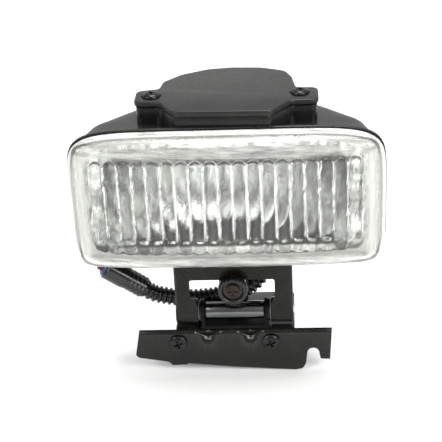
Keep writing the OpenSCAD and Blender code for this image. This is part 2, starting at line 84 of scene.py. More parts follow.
# ---- camera ----
def make_camera():
    azimuth, elevation, roll = math.radians(3.89), math.radians(26.56), math.radians(-2.89)
    distance = 714
    target = lamp(-4.8, 30, -20.5)
    forward = Vector((-math.sin(azimuth) * math.cos(elevation),
                      math.cos(azimuth) * math.cos(elevation), -math.sin(elevation)))
    level = Vector((math.cos(azimuth), math.sin(azimuth), 0))
    up = level.cross(forward)
    right = math.cos(roll) * level + math.sin(roll) * up
    top = math.cos(roll) * up - math.sin(roll) * level
    data = bpy.data.cameras.new("camera")
    data.sensor_width = 36
    data.lens = 109.2
    data.clip_end = 50
    camera = bpy.data.objects.new("camera", data)
    bpy.context.scene.collection.objects.link(camera)
    turn = Matrix((right, top, -forward)).transposed().to_4x4()
    camera.matrix_world = Matrix.Translation((target - forward * distance) * MM) @ turn
    bpy.context.scene.camera = camera


make_camera()


# ---- materials ----
def node(tree, kind, **settings):
    made = tree.nodes.new(kind)
    for name, value in settings.items():
        setattr(made, name, value)
    return made


def noise_of(tree, scale, detail=3.0, stretch=(1, 1, 1), rough=0.55, lean=0.0):
    """Noise in object space, in features per metre, denser along an axis by its stretch, and leaning."""
    place = node(tree, "ShaderNodeTexCoord")
    mapping = node(tree, "ShaderNodeMapping", vector_type="TEXTURE")
    mapping.inputs["Scale"].default_value = [1 / share for share in stretch]
    mapping.inputs["Rotation"].default_value = (0, lean, 0)
    made = node(tree, "ShaderNodeTexNoise")
    made.inputs["Scale"].default_value = scale
    made.inputs["Detail"].default_value = detail
    made.inputs["Roughness"].default_value = rough
    tree.links.new(place.outputs["Object"], mapping.inputs["Vector"])
    tree.links.new(mapping.outputs["Vector"], made.inputs["Vector"])
    return made.outputs["Fac"]


def ranged(tree, source, low, high, from_low=0.3, from_high=0.7):
    made = node(tree, "ShaderNodeMapRange")
    made.inputs["From Min"].default_value = from_low
    made.inputs["From Max"].default_value = from_high
    made.inputs["To Min"].default_value = low
    made.inputs["To Max"].default_value = high
    tree.links.new(source, made.inputs["Value"])
    return made.outputs["Result"]


def blend_colours(tree, factor, a, b):
    made = node(tree, "ShaderNodeMix", data_type="RGBA")
    made.inputs["A"].default_value = (*a, 1)
    made.inputs["B"].default_value = (*b, 1)
    tree.links.new(factor, made.inputs["Factor"])
    return made.outputs["Result"]


def maths(tree, operation, a, b=0.0):
    """A math node whose inputs are sockets or numbers."""
    made = node(tree, "ShaderNodeMath", operation=operation)
    for socket, value in zip(made.inputs, (a, b)):
        if isinstance(value, (int, float)):
            socket.default_value = value
        else:
            tree.links.new(value, socket)
    return made.outputs["Value"]


def bump(tree, height, distance, after=None):
    made = node(tree, "ShaderNodeBump")
    made.inputs["Distance"].default_value = distance
    tree.links.new(height, made.inputs["Height"])
    if after is not None:
        tree.links.new(after, made.inputs["Normal"])
    return made.outputs["Normal"]


def material(name, dark, light, rough, metallic=0.0, specular=0.5, grain=(2500, 2e-5),
             wave=None, mottle=90, stretch=(1, 1, 1), lean=0.0, spread=0.2):
    """A surface whose colour and gloss drift, with a fine grain and, if wave is given, long waves.

    grain and wave are (features per metre, depth in metres); rough is (lowest, highest); spread is
    how much of the noise, each side of its middle, the colour's drift takes up."""
    made = bpy.data.materials.new(name)
    made.use_nodes = True
    tree = made.node_tree
    shader = tree.nodes["Principled BSDF"]
    shader.inputs["Metallic"].default_value = metallic
    shader.inputs["Specular IOR Level"].default_value = specular
    drift = noise_of(tree, mottle, 4.0, stretch, lean=lean)
    share = ranged(tree, drift, 0, 1, 0.5 - spread, 0.5 + spread)
    tree.links.new(blend_colours(tree, share, dark, light), shader.inputs["Base Color"])
    scuffs = noise_of(tree, mottle * 7, 6.0, stretch, 0.7)
    tree.links.new(ranged(tree, scuffs, *rough), shader.inputs["Roughness"])
    normal = bump(tree, noise_of(tree, grain[0], 2.0, stretch, lean=lean), grain[1])
    if wave:
        normal = bump(tree, noise_of(tree, wave[0], 2.0), wave[1], normal)
    tree.links.new(normal, shader.inputs["Normal"])
    return made


def glass(name, colour, rough, ior, wave, streak=None):
    made = bpy.data.materials.new(name)
    made.use_nodes = True
    tree = made.node_tree
    shader = tree.nodes["Principled BSDF"]
    shader.inputs["Base Color"].default_value = (*colour, 1)
    shader.inputs["Roughness"].default_value = rough
    shader.inputs["IOR"].default_value = ior
    shader.inputs["Transmission Weight"].default_value = 1
    normal = bump(tree, noise_of(tree, wave[0], 2.0), wave[1])
    if streak:
        normal = bump(tree, noise_of(tree, streak[0], 3.0, (7, 1, 1), 0.6, 0.2), streak[1], normal)
    tree.links.new(normal, shader.inputs["Normal"])
    return made


BORDER = (69.8, 27.3)           # half width and half height inside the lens's border, whose white is painted glare


def glass_with_painted_glare_rim():
    """Pressed glass whose border round the flutes and whose rim, beside the housing, are painted white: a
    painted highlight standing in for the glare of the glass.
    """
    made = glass("pressed_glass", (0.955, 0.965, 0.945), 0.003, 1.5, (240, 6e-5), (90, 4e-4))
    tree = made.node_tree
    clear = tree.nodes["Principled BSDF"]
    glare_paint = node(tree, "ShaderNodeBsdfPrincipled")
    glare_paint.inputs["Coat Weight"].default_value = 0.6
    glare_paint.inputs["Coat Roughness"].default_value = 0.08
    scuffs = noise_of(tree, 700, 5.0, (1, 1, 1), 0.7)
    tree.links.new(ranged(tree, scuffs, 0.25, 0.5), glare_paint.inputs["Roughness"])
    tree.links.new(bump(tree, noise_of(tree, 1400), 3e-5), glare_paint.inputs["Normal"])
    split = node(tree, "ShaderNodeSeparateXYZ")
    tree.links.new(node(tree, "ShaderNodeTexCoord").outputs["Object"], split.inputs["Vector"])
    rear = lens_high.y * MM
    # the rear edge of the glass, beside the housing, is painted white: a painted highlight for its glare
    rim = ranged(tree, split.outputs["Y"], 0.0, 0.85, rear - 0.0042, rear - 0.0027)
    # the border round the flutes is painted a streaky white, a painted highlight, and lets through only part
    # of the light
    wide = maths(tree, "DIVIDE", maths(tree, "ABSOLUTE", split.outputs["X"]), BORDER[0] * MM)
    high = maths(tree, "ABSOLUTE", maths(tree, "SUBTRACT", split.outputs["Z"], lens_mid.z * MM))
    high = maths(tree, "DIVIDE", high, BORDER[1] * MM)
    across = ranged(tree, noise_of(tree, 50, 5.0, (1, 1, 9), 0.65), 0.16, 0.6)
    upright = ranged(tree, noise_of(tree, 50, 5.0, (9, 1, 1), 0.65), 0.36, 0.62)
    pick = maths(tree, "GREATER_THAN", high, wide)
    # above and below the flutes the painted white is greyer in long streaks: painted shade on these
    # upward-facing bands
    painted_grey = ranged(tree, noise_of(tree, 60, 5.0, (1, 1, 8), 0.65, 0.1), 1, 0, 0.36, 0.56)
    tree.links.new(blend_colours(tree, maths(tree, "MULTIPLY", pick, painted_grey), (0.76, 0.77, 0.73),
                                 (0.38, 0.39, 0.37)), glare_paint.inputs["Base Color"])
    change = maths(tree, "MULTIPLY", pick, maths(tree, "SUBTRACT", across, upright))
    streaks = maths(tree, "ADD", upright, change)
    border = ranged(tree, maths(tree, "MAXIMUM", wide, high), 0.0, 1.0, 0.99, 1.05)
    # a clear ring between the border and the rim
    ring = ranged(tree, split.outputs["Y"], 1.0, 0.1, rear - 0.009, rear - 0.006)
    border = maths(tree, "MULTIPLY", border, maths(tree, "MULTIPLY", streaks, ring))
    share = maths(tree, "MAXIMUM", rim, border)
    both = node(tree, "ShaderNodeMixShader")
    tree.links.new(share, both.inputs["Fac"])
    tree.links.new(clear.outputs["BSDF"], both.inputs[1])
    tree.links.new(glare_paint.outputs["BSDF"], both.inputs[2])
    tree.links.new(both.outputs["Shader"], tree.nodes["Material Output"].inputs["Surface"])
    return made


LENS_GLASS = glass_with_painted_glare_rim()
QUARTZ = glass("quartz", (0.97, 0.98, 0.98), 0.01, 1.46, (120, 1e-5))
# the chrome's colour swings in leaning streaks between near black and near white: painted reflection streaks,
# standing in for the surroundings seen in the reflector
CHROME_PAINTED_STREAKS = material("reflector_chrome_painted_streaks", (0.08, 0.083, 0.077), (0.93, 0.935, 0.92), (0.02, 0.06), 1.0,
                  grain=(160, 4e-4), wave=(130, 1.6e-4), mottle=110, stretch=(5, 2, 1), lean=0.3, spread=0.1)
BLACK_PLASTIC = material("moulded_black", (0.006, 0.0065, 0.006), (0.011, 0.0115, 0.0105), (0.2, 0.33),
                         specular=0.3, grain=(3200, 1.5e-5), wave=(70, 8e-5), mottle=55)
LID_PLASTIC = material("lid_black", (0.009, 0.0098, 0.0086), (0.015, 0.016, 0.0142), (0.28, 0.4),
                       specular=0.29, grain=(3800, 2.5e-5), wave=(60, 6e-5), mottle=70)
COATED_STEEL = material("coated_steel", (0.006, 0.0065, 0.0055), (0.011, 0.0115, 0.0098), (0.09, 0.18),
                        specular=0.32, grain=(1500, 2.5e-5), wave=(140, 5e-5), mottle=110)
YOKE_STEEL = material("yoke_coating", (0.006, 0.0065, 0.0055), (0.012, 0.0125, 0.0105), (0.16, 0.32),
                      specular=0.17, grain=(1500, 2.5e-5), wave=(140, 5e-5), mottle=110)
# a darker, duller copy of the coated steel: painted shade, so that the clevis under the tube reads as sitting
# in shadow
SHADED_CLEVIS_STEEL = material("clevis_coating_painted_shade", (0.003, 0.0032, 0.003), (0.006, 0.0063, 0.0058), (0.3, 0.45),
                        specular=0.08, grain=(1500, 2.5e-5), wave=(140, 5e-5), mottle=110)
KNOB_PLASTIC = material("knob_plastic", (0.01, 0.0085, 0.0075), (0.02, 0.015, 0.013), (0.22, 0.4),
                        specular=0.4, grain=(2600, 3e-5), mottle=150)
TUBE_STEEL = material("polished_tube", (0.1, 0.103, 0.106), (0.17, 0.174, 0.178), (0.14, 0.24), 1.0,
                      grain=(700, 6e-6), mottle=80, stretch=(1, 9, 9))
ZINC = material("zinc_plate", (0.5, 0.5, 0.48), (0.68, 0.68, 0.65), (0.26, 0.42), 1.0,
                grain=(1800, 1.5e-5), mottle=200)
DARK_SCREW = material("black_oxide", (0.016, 0.016, 0.016), (0.038, 0.038, 0.037), (0.2, 0.36), 0.85,
                      grain=(2200, 2e-5), mottle=260)
# zinc darkened nearly to black: painted shade for the screw head sunk in the knob's cup, and for the adjuster
# nut
ZINC_PAINTED_SHADE = material("zinc_painted_shade", (0.026, 0.02, 0.016), (0.05, 0.036, 0.029), (0.24, 0.4), 1.0,
                       grain=(1800, 1.5e-5), mottle=300)
SEALANT = material("white_sealant", (0.8, 0.8, 0.78), (0.86, 0.86, 0.84), (0.35, 0.5), grain=(900, 4e-5))
RUBBER = material("rubber", (0.014, 0.014, 0.014), (0.024, 0.024, 0.023), (0.55, 0.75),
                  specular=0.3, grain=(2400, 4e-5), mottle=140)
CONDUIT_PLASTIC = material("conduit_plastic", (0.006, 0.006, 0.006), (0.011, 0.011, 0.011), (0.12, 0.24),
                           specular=0.5, grain=(2600, 1.5e-5), mottle=180)
BLUE_PLASTIC = material("blue_lock", (0.02, 0.04, 0.12), (0.045, 0.08, 0.2), (0.35, 0.5),
                        specular=0.4, grain=(2600, 2e-5), mottle=220)
NYLON = material("nylon", (0.62, 0.6, 0.53), (0.72, 0.7, 0.63), (0.35, 0.5), grain=(2600, 2e-5), mottle=200)
TINNED = material("tinned_brass", (0.17, 0.07, 0.05), (0.3, 0.15, 0.1), (0.25, 0.42), 1.0,
                  grain=(2000, 1.5e-5), mottle=300)
TUNGSTEN = material("tungsten", (0.16, 0.155, 0.15), (0.24, 0.235, 0.225), (0.4, 0.6), 1.0, mottle=400)
BLUE_WIRE = material("blue_wire", (0.01, 0.02, 0.12), (0.02, 0.035, 0.18), (0.35, 0.5), mottle=200)


# ---- mesh helpers ----
SAME_POINT = 1e-7                # points closer than this, in metres, are one point


def solid(shape):
    """A loose mesh object from (points, faces) in millimetres, for joining and cutting."""
    mesh = bpy.data.meshes.new("shape")
    mesh.from_pydata([Vector(p) * MM for p in shape[0]], [], shape[1])
    work = bmesh.new()
    work.from_mesh(mesh)
    bmesh.ops.remove_doubles(work, verts=work.verts, dist=SAME_POINT)
    bmesh.ops.recalc_face_normals(work, faces=work.faces)
    work.to_mesh(mesh)
    work.free()
    made = bpy.data.objects.new("shape", mesh)
    bpy.context.scene.collection.objects.link(made)
    return made


def name_piece(made, name, look, body, replaces=(), smooth_angle=35):
    """Names a loose object, gives it its look, and has it ride on a CAD body."""
    made.name = name
    made.data.name = name
    made.data.materials.clear()
    made.data.materials.append(look)
    made.data.shade_smooth()
    made.data.set_sharp_from_angle(angle=math.radians(smooth_angle))
    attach(made, body)
    if replaces:
        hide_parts(*replaces)
    return made


def rings_to_faces(count, rings, closed=False):
    """Quads between rings of count points each; closed joins the last ring to the first."""
    faces = []
    for r in range(rings if closed else rings - 1):
        a, b = r * count, (r + 1) % rings * count
        for k in range(count):
            n = (k + 1) % count
            faces.append((a + k, a + n, b + n, b + k))
    return faces


def lathe(profile, origin, axis, segments=64):
    """Turns a profile of (distance along the axis, radius) round the axis, closed at both ends."""
    axis = Vector(axis).normalized()
    side = axis.orthogonal().normalized()
    other = axis.cross(side)
    points = []
    for along, radius in profile:
        for k in range(segments):
            turn = TURN * k / segments
            points.append(Vector(origin) + axis * along
                          + radius * (math.cos(turn) * side + math.sin(turn) * other))
    faces = rings_to_faces(segments, len(profile))
    faces.append(tuple(range(segments)))
    faces.append(tuple(range((len(profile) - 1) * segments, len(profile) * segments)))
    return points, faces


ARC_STEPS = 7


def rounded(corners):
    """A polygon from (x, y, corner radius), each corner turned into an arc."""
    outline = []
    for i, (x, y, radius) in enumerate(corners):
        here = Vector((x, y))
        to_last = (Vector(corners[i - 1][:2]) - here).normalized()
        to_next = (Vector(corners[(i + 1) % len(corners)][:2]) - here).normalized()
        half = to_last.angle(to_next) / 2
        if radius <= 0 or half > math.radians(89):
            outline.append(here)
            continue
        centre = here + (to_last + to_next).normalized() * radius / math.sin(half)
        start = here + to_last * radius / math.tan(half) - centre
        stop = here + to_next * radius / math.tan(half) - centre
        sweep = start.angle_signed(stop)
        for k in range(ARC_STEPS + 1):
            outline.append(centre + Matrix.Rotation(-sweep * k / ARC_STEPS, 2) @ start)
    return outline


def prism(outline, low, high, place):
    """An outline swept from low to high; place turns (x, y, depth) into a point."""
    points = [place(p.x, p.y, low) for p in outline] + [place(p.x, p.y, high) for p in outline]
    count = len(outline)
    faces = rings_to_faces(count, 2)
    faces.append(tuple(range(count)))
    faces.append(tuple(range(count, 2 * count)))
    return points, faces


def facing_front(x, z, y):
    return Vector((x, y, z))


def flat(x, y, z):
    return Vector((x, y, z))


def facing_side(y, z, x):
    return Vector((x, y, z))


def cuboid(low, high):
    corners = [Vector((low[0], low[1])), Vector((high[0], low[1])), Vector((high[0], high[1])),
               Vector((low[0], high[1]))]
    return prism(corners, low[2], high[2], flat)


def apply_all(made):
    """Applies the object's modifiers to its mesh."""
    graph = bpy.context.evaluated_depsgraph_get()
    mesh = bpy.data.meshes.new_from_object(made.evaluated_get(graph))
    old = made.data
    made.modifiers.clear()
    made.data = mesh
    bpy.data.meshes.remove(old)


def bevel(made, width, segments=2, angle=30):
    """Rounds the edges sharper than an angle, by a width in millimetres."""
    tool = made.modifiers.new("bevel", "BEVEL")
    tool.width = width * MM
    tool.segments = segments
    tool.limit_method = "ANGLE"
    tool.angle_limit = math.radians(angle)
    tool.harden_normals = False
    apply_all(made)
    return made


def combine(base, others, operation):
    for other in others:
        tool = base.modifiers.new("join", "BOOLEAN")
        tool.operation = operation
        tool.solver = "EXACT"
        tool.object = other
        apply_all(base)
        bpy.data.objects.remove(other)
    return base


def cylinder(centre, axis, radius, low, high, segments=48):
    return lathe([(low, radius), (high, radius)], centre, axis, segments)


# ---- conduit: the cord, made before the rest ----
CONDUIT_ROUTE = [
    (18, 4, 46.2), (18, 4, 41.5), (18, 2.8, 36.8), (17.6, 0, 32.8), (16.8, -3.6, 29.3),
    (15, -7, 25.6), (12, -9.4, 22), (7.5, -10.4, 18.8), (2, -10.5, 16.3), (-5, -10.5, 14.3),
    (-12, -10.5, 12.9), (-19, -10.5, 12.1), (-26, -10.5, 11.9), (-33, -10.6, 12.5), (-40, -11, 13.9),
    (-46.5, -11.5, 16.2), (-51.4, -12.1, 19.9)]
CONDUIT_R = 5.0
RIB_PITCH = 2.9
RIB_HEIGHT = 1.05
# One corrugation: share of the pitch, share of the rib's height
RIB = [(0.0, 0), (0.14, 0.0), (0.24, 0.55), (0.32, 0.92), (0.42, 1), (0.6, 1), (0.7, 0.92), (0.78, 0.55),
       (0.88, 0.0)]
PLUG_DIRECTION = (Vector(CONDUIT_ROUTE[-1]) - Vector(CONDUIT_ROUTE[-2])).normalized()


def smooth_line(route, steps):
    """A Catmull-Rom curve through the route's points."""
    pts = [Vector(p) for p in route]
    pts = [2 * pts[0] - pts[1]] + pts + [2 * pts[-1] - pts[-2]]
    line = []
    for a, b, c, d in zip(pts, pts[1:], pts[2:], pts[3:]):
        for k in range(steps):
            t = k / steps
            line.append(0.5 * (2 * b + (c - a) * t + (2 * a - 5 * b + 4 * c - d) * t * t
                               + (3 * b - a - 3 * c + d) * t ** 3))
    return line + [pts[-2]]


class Line:
    """A polyline that gives its point and a frame that doesn't twist at any distance along it."""

    def __init__(self, points, side):
        self.points = points
        self.at = [0.0]
        for a, b in zip(points, points[1:]):
            self.at.append(self.at[-1] + (b - a).length)
        self.sides = []
        for i in range(len(points)):
            ahead = self.tangent(i)
            side = (side - side.dot(ahead) * ahead).normalized()
            self.sides.append(side)

    def tangent(self, i):
        low, high = max(i - 1, 0), min(i + 1, len(self.points) - 1)
        return (self.points[high] - self.points[low]).normalized()

    def place(self, distance):
        i = 0
        while i < len(self.at) - 2 and self.at[i + 1] < distance:
            i += 1
        share = (distance - self.at[i]) / (self.at[i + 1] - self.at[i])
        point = self.points[i].lerp(self.points[i + 1], share)
        ahead = self.tangent(i).lerp(self.tangent(i + 1), share).normalized()
        side = self.sides[i].lerp(self.sides[i + 1], share).normalized()
        return point, side, ahead.cross(side)


def swept(line, stations, segments):
    """A closed tube through stations of (distance, radius)."""
    points = []
    for distance, radius in stations:
        point, side, other = line.place(distance)
        for k in range(segments):
            turn = TURN * k / segments
            points.append(point + radius * (math.cos(turn) * side + math.sin(turn) * other))
    faces = rings_to_faces(segments, len(stations))
    faces.append(tuple(range(segments)))
    faces.append(tuple(range((len(stations) - 1) * segments, len(stations) * segments)))
    return points, faces


def make_conduit():
    line = Line(smooth_line(CONDUIT_ROUTE, 10), Vector((1, 0, 0)))
    length = line.at[-1]
    pitches = int(length / RIB_PITCH)
    pitch = length / pitches
    stations = [((i + share) * pitch, CONDUIT_R - RIB_HEIGHT * (1 - height))
                for i in range(pitches) for share, height in RIB]
    stations.append((length, CONDUIT_R - RIB_HEIGHT))
    tube = solid(swept(line, stations, 36))
    name_piece(tube, "conduit_tube", CONDUIT_PLASTIC, "lamp", ["conduit"], 70)
    return tube, line


conduit, conduit_line = make_conduit()


def make_connector():
    """The connector at the conduit's end: ribbed body, latch, blue lock and two blades."""
    end = Vector(CONDUIT_ROUTE[-1])
    turn = PLUG_DIRECTION.to_track_quat("Z", "Y").to_matrix()

    def placed(shape):
        return [end + turn @ p for p in shape[0]], shape[1]

    profile = [(-1.5, 5.05), (-1.2, 5.4), (0, 5.6), (0.5, 6.2)]
    for i in range(4):
        start = 1.5 + i * 2.6
        profile += [(start, 6.2), (start + 0.35, 5.85), (start + 1.1, 5.85), (start + 1.45, 6.2)]
    profile += [(12, 6.2), (12.4, 6.6), (24.6, 6.6), (25, 6.2), (25, 5.2), (17, 5.2)]
    body = solid(placed(lathe(profile, (0, 0, 0), (0, 0, 1), 56)))
    latch = bevel(solid(placed(cuboid((-7.6, -2.5, 14), (-5.4, 2.5, 23)))), 0.5)
    body = combine(body, [latch], "UNION")
    name_piece(body, "connector_shell", CONDUIT_PLASTIC, "lamp", ["connector_body"])
    lock = solid(placed(lathe([(17, 5.15), (25.9, 5.15), (26.4, 4.7)], (0, 0, 0), (0, 0, 1), 48)))
    slots = [solid(placed(cuboid((-3, s * 2.1 - 0.45, 19), (3, s * 2.1 + 0.45, 30)))) for s in (-1, 1)]
    lock = combine(lock, slots, "DIFFERENCE")
    name_piece(lock, "connector_lock_plate", BLUE_PLASTIC, "lamp", ["connector_lock"])
    blades = [bevel(solid(placed(cuboid((-2.9, s * 2.1 - 0.4, 19), (2.9, s * 2.1 + 0.4, 29.4)))), 0.2)
              for s in (-1, 1)]
    pair = combine(blades[0], [blades[1]], "UNION")
    name_piece(pair, "connector_blades", TINNED, "lamp", ["connector_terminals"])
    return [body, lock, pair]


plug_pieces = make_connector()
[p * MM for p in conduit_line.points]


# ---- lens ----
FIELD = (69.0, 26.5)            # half width and half height of the fluted field
FLUTES = 19
FLUTE_SAG = 1.65
FIELD_POWER = 60                 # how square the field's corners are
RIB_TOP, RIB_FOOT = 26.3, -20.5  # where the flutes' rounded ends lie
GLASS_T = 3.0
COLUMNS, ROWS = FLUTES * 14, 88
# The skirt outside and inside: (share of the way out to the rim, share of the depth)
SKIRT = [(0.05, 0), (0.15, 0.012), (0.3, 0.04), (0.45, 0.1), (0.58, 0.19), (0.7, 0.32), (0.79, 0.46),
         (0.85, 0.6), (0.885, 0.72), (0.9, 0.78), (0.93, 0.805), (0.97, 0.815), (0.99, 0.83), (1.0, 0.86),
         (1.0, 0.97), (0.985, 1.0)]
LINING = [(0.06, 0), (0.2, 0.03), (0.4, 0.1), (0.58, 0.22), (0.72, 0.38), (0.84, 0.58), (0.93, 0.8),
          (0.97, 1.0)]


def edge_loop(columns, rows):
    """Grid indices round the edge of a (columns + 1) by (rows + 1) grid."""
    wide = columns + 1
    loop = [i for i in range(columns)]
    loop += [columns + j * wide for j in range(rows)]
    loop += [i + rows * wide for i in range(columns, 0, -1)]
    loop += [j * wide for j in range(rows, 0, -1)]
    return loop


def superellipse(u, v, half_w, half_h, power):
    """The point on a superellipse in the direction of (u, v)."""
    size = (abs(u) ** power + abs(v) ** power) ** (1 / power)
    return half_w * u / size, half_h * v / size


def face_depth(x, z):
    return 4.2 * (x / 75) ** 2 + 0.9 * (z / 28) ** 2


def flute_height(x, z):
    """How far a flute stands out at the back of the glass: a rod with round ends, and a lower one below."""
    pitch = 2 * FIELD[0] / FLUTES
    across = (x + FIELD[0]) % pitch - pitch / 2

    def rod(sag, foot):
        over = max(z - (RIB_TOP - pitch / 2), (foot + pitch / 2) - z, 0)
        away = min(math.hypot(across, over) / (pitch / 2), 1)
        radius = (pitch * pitch / 4 + sag ** 2) / (2 * sag)
        return math.sqrt(radius ** 2 - (away * pitch / 2) ** 2) - (radius - sag)

    bead = 0.9 * math.exp(-(across / 1.9) ** 2 - ((z - RIB_FOOT - 1.6) / 1.1) ** 2)
    return max(rod(FLUTE_SAG, RIB_FOOT), rod(FLUTE_SAG * 0.45, RIB_FOOT - 5.5)) + bead


def make_lens():
    points, loops = [], []
    for back in (False, True):
        base = len(points)
        for j in range(ROWS + 1):
            for i in range(COLUMNS + 1):
                x = FIELD[0] * (2 * i / COLUMNS - 1)
                z = FIELD[1] * (2 * j / ROWS - 1)
                depth = face_depth(x, z) + ((GLASS_T + flute_height(x, z)) if back else 0)
                points.append(lamp(x, depth, z))
        edge = [base + k for k in edge_loop(COLUMNS, ROWS)]
        chain = [edge]
        for out, deep in (LINING if back else SKIRT):
            ring = []
            inset = GLASS_T * 0.9 if back else 0
            for k in edge:
                p = points[k] - lamp(0, 0, 0)
                u, v = p.x / FIELD[0], p.z / FIELD[1]
                power = FIELD_POWER - (FIELD_POWER - POWER) * min(1, out * 1.15)
                half_w = FIELD[0] + (LENS_W / 2 - inset - FIELD[0]) * out
                half_h = FIELD[1] + (LENS_H / 2 - inset - FIELD[1]) * out
                x, z = superellipse(u, v, half_w, half_h, power)
                start = face_depth(x, z) + (GLASS_T if back else 0)
                points.append(lamp(x, start * (1 - deep) + LENS_D * deep, z))
                ring.append(len(points) - 1)
            chain.append(ring)
        loops.append((base, chain))
    faces = []
    wide = COLUMNS + 1
    for base, chain in loops:
        faces += [(base + j * wide + i, base + j * wide + i + 1, base + (j + 1) * wide + i + 1,
                   base + (j + 1) * wide + i) for j in range(ROWS) for i in range(COLUMNS)]
        for a, b in zip(chain, chain[1:]):
            faces += [(a[k], a[(k + 1) % len(a)], b[(k + 1) % len(a)], b[k]) for k in range(len(a))]
    front, rear = loops[0][1][-1], loops[1][1][-1]
    faces += [(front[k], front[(k + 1) % len(front)], rear[(k + 1) % len(front)], rear[k])
              for k in range(len(front))]
    name_piece(solid((points, faces)), "lens_glass", LENS_GLASS, "lamp", ["lens"], 50)


make_lens()


# ---- reflector ----
MOUTH = (64.5, 27.5)
VERTEX, FOCAL = 58.0, 25.0
MOUTH_Y = 16.6


def make_reflector():
    loop_columns, loop_rows = 96, 44
    loop = edge_loop(loop_columns, loop_rows)
    wide = loop_columns + 1
    units = [(2 * (k % wide) / loop_columns - 1, 2 * (k // wide) / loop_rows - 1) for k in loop]
    rings = []
    steps = 28
    for step in range(steps + 1):
        share = step / steps
        ring = []
        for u, v in units:
            corner = Vector((u * MOUTH[0], v * MOUTH[1]))
            p = (corner.normalized() * 5.4).lerp(corner, share)
            ring.append(lamp(p.x, max(VERTEX - p.length_squared / (4 * FOCAL), MOUTH_Y + 0.6), p.y))
        rings.append(ring)
    edge = rings[-1]
    mouth = lamp(0, MOUTH_Y, 0).y
    for share in (0.12, 0.3, 0.5, 0.7, 0.88, 1.0):
        ring = []
        for p in edge:
            slant = 1 + 0.008 * share
            ring.append(Vector((p.x * slant, p.y + (mouth - p.y) * share,
                                lens_mid.z + (p.z - lens_mid.z) * slant)))
        rings.append(ring)
    wall_end = rings[-1]
    half_w, half_h = (LENS_W - 13.8) / 2, (LENS_H - 10) / 2
    for share, deep in ((0.12, 0), (0.5, 0), (0.9, 0), (1.0, 0.9)):
        ring = []
        for (u, v), p in zip(units, wall_end):
            x, z = superellipse(u, v, half_w, half_h, POWER)
            outer = lamp(x, MOUTH_Y, z)
            ring.append(p.lerp(outer, share) + Vector((0, deep, 0)))
        rings.append(ring)
    points = [p for ring in rings for p in ring]
    made = solid((points, rings_to_faces(len(units), len(rings))))
    name_piece(made, "reflector_bowl", CHROME_PAINTED_STREAKS, "lamp", ["reflector"], 40)
    thick = made.modifiers.new("shell", "SOLIDIFY")
    thick.thickness = 1.3 * MM
    thick.offset = 1 if made.data.polygons[0].normal.y > 0 else -1


make_reflector()


# ---- housing ----
# Slices of the bowl: distance behind the lens's face, width, height, squareness
BOWL = [(15.2, 157, 72.4, 8), (24, 153.3, 71.2, 10), (31, 148.4, 70.7, 11), (37, 143.3, 70.4, 12),
        (43, 132.6, 70, 12), (49, 121.4, 69.7, 12), (54, 112.4, 69.2, 12), (58.5, 103.2, 68.4, 12),
        (64, 90.5, 65.4, 11), (70, 75.6, 61, 10), (75, 61, 54.5, 8), (78, 51.5, 49, 7), (79.5, 46, 45, 6.5),
        (80, 40, 39, 6.5)]
LID_OUTLINE = [(-26, 17.5, 6), (24, 16, 6), (34, 30, 5), (48, 30, 4), (48, 48, 4), (36.5, 48.5, 3),
               (34.5, 64, 8), (31, 73.5, 7), (18, 79.5, 16), (2, 80.8, 20), (-11, 79, 18),
               (-25, 71.5, 9), (-34, 61, 6), (-35.5, 50.5, 3), (-47, 48.5, 4), (-47, 32, 4), (-34, 31.5, 5)]
GASKET_T = 0.6                   # what shows of the cover's gasket
COLLAR_TOP = box_mm("access_cover")[0].z - lens_mid.z - GASKET_T
# The side view of a rib at the housing's back: distance behind the lens's face, height
BACK_RIB = [(30, -34), (60, -34.6), (71, -30.5), (78, -22), (80.6, -14), (80.6, 14), (76, 22), (60, 22),
            (60, -20)]
SCREWS = (38.5, 40)              # the cover's screws: each side of the middle, behind the lens's face
RING_POINTS = 176
WALL_T, BACK_WALL_T = 2.5, 1.8
BACK_FROM = 70                   # the back wall's thickness counts from here


def spline(values, t):
    """Catmull-Rom through a list of tuples, with t counted in list steps."""
    i = min(int(t), len(values) - 2)
    t -= i
    a, b, c, d = (values[max(i - 1, 0)], values[i], values[i + 1], values[min(i + 2, len(values) - 1)])
    return tuple(0.5 * (2 * q + (r - p) * t + (2 * p - 5 * q + 4 * r - s) * t * t
                        + (3 * q - p - 3 * r + s) * t ** 3) for p, q, r, s in zip(a, b, c, d))


def oval_ring(depth, width, height, power=POWER):
    """A superellipse round the lens's axis, at a distance behind its face."""
    ring = []
    for k in range(RING_POINTS):
        turn = TURN * (k + 0.5) / RING_POINTS
        c, s = math.cos(turn), math.sin(turn)
        ring.append(lamp(math.copysign(abs(c) ** (2 / power), c) * width / 2, depth,
                         math.copysign(abs(s) ** (2 / power), s) * height / 2))
    return ring


def scaled_outline(outline, inset):
    """Moves an outline inwards along its own normals."""
    moved = []
    for i, p in enumerate(outline):
        along = (outline[(i + 1) % len(outline)] - outline[i - 1]).normalized()
        moved.append(p + Vector((-along.y, along.x)) * inset)
    return moved


